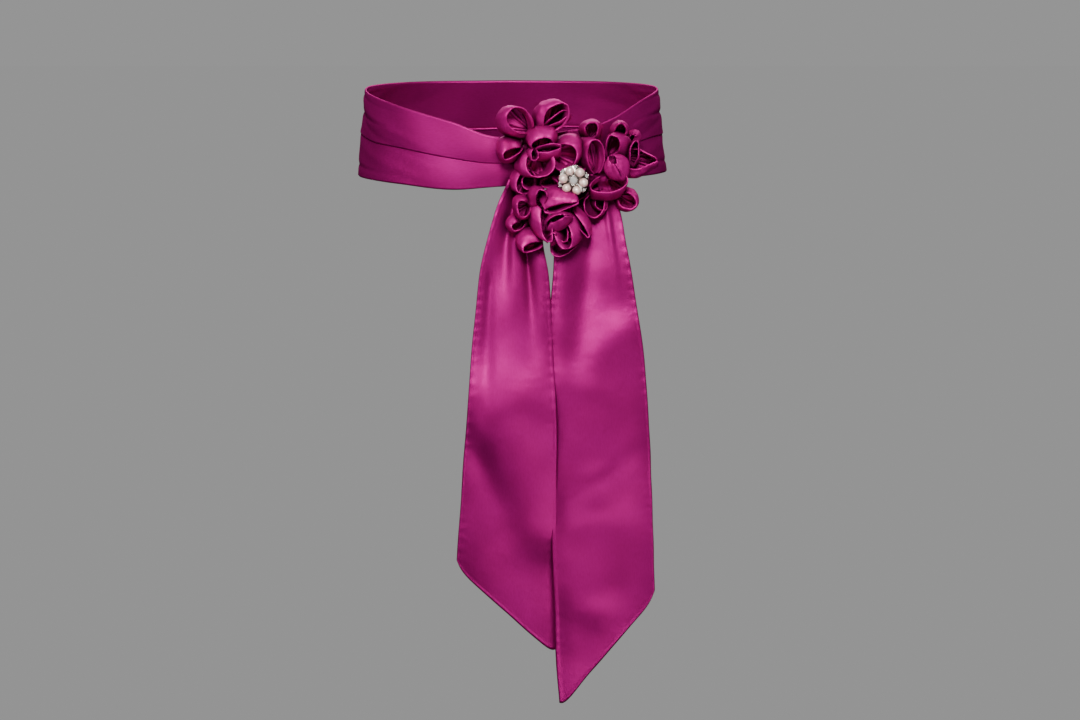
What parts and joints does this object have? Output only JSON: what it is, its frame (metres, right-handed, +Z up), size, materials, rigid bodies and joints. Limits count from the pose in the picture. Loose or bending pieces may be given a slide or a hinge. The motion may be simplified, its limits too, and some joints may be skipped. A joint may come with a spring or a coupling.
{
  "type": "ribbon sash belt",
  "caption": "Worn satin waist sash with a pleated band, ribbon loop flowers round a pearl brooch, and two hanging tails cut on a slant.",
  "frame": {"origin": "centre of the waist opening, level with the middle of the band at its sides", "axes": "+Z up along the waist opening and the hanging tails, -Y towards the front with the flowers, +X to the right seen from the front"},
  "size_m": [0.2604, 0.2364, 0.501],
  "materials": {
    "satin": "magenta satin ribbon, soft sheen",
    "silver": "bright silver-coloured plating",
    "pearl": "glossy off-white imitation pearl",
    "crystal": "clear faceted crystal"
  },
  "bodies": {
    "root": {"waist_band": "satin", "left_tail": "satin", "right_tail": "satin", "flower_1_petal_01": "satin", "flower_1_petal_02": "satin", "flower_1_petal_03": "satin", "flower_1_petal_04": "satin", "flower_1_petal_05": "satin", "flower_1_petal_06": "satin", "flower_1_petal_07": "satin", "flower_1_petal_08": "satin", "flower_1_petal_09": "satin", "flower_2_petal_01": "satin", "flower_2_petal_02": "satin", "flower_2_petal_03": "satin", "flower_2_petal_04": "satin", "flower_2_petal_05": "satin", "flower_2_petal_06": "satin", "flower_2_petal_07": "satin", "flower_2_petal_08": "satin", "flower_2_petal_09": "satin", "flower_2_petal_10": "satin", "flower_2_petal_11": "satin", "flower_3_petal_01": "satin", "flower_3_petal_02": "satin", "flower_3_petal_03": "satin", "flower_3_petal_04": "satin", "flower_3_petal_05": "satin", "flower_3_petal_06": "satin", "flower_3_petal_07": "satin", "flower_3_petal_08": "satin", "flower_3_petal_09": "satin", "flower_3_petal_10": "satin", "gathered_knot": "satin", "brooch_setting": "silver", "pearl_1": "pearl", "pearl_2": "pearl", "pearl_3": "pearl", "pearl_4": "pearl", "pearl_5": "pearl", "pearl_6": "pearl", "centre_crystal": "crystal", "small_stone_1": "crystal", "small_stone_2": "crystal", "small_stone_3": "crystal", "small_stone_4": "crystal", "small_stone_5": "crystal", "small_stone_6": "crystal"}
  },
  "joints": []
}
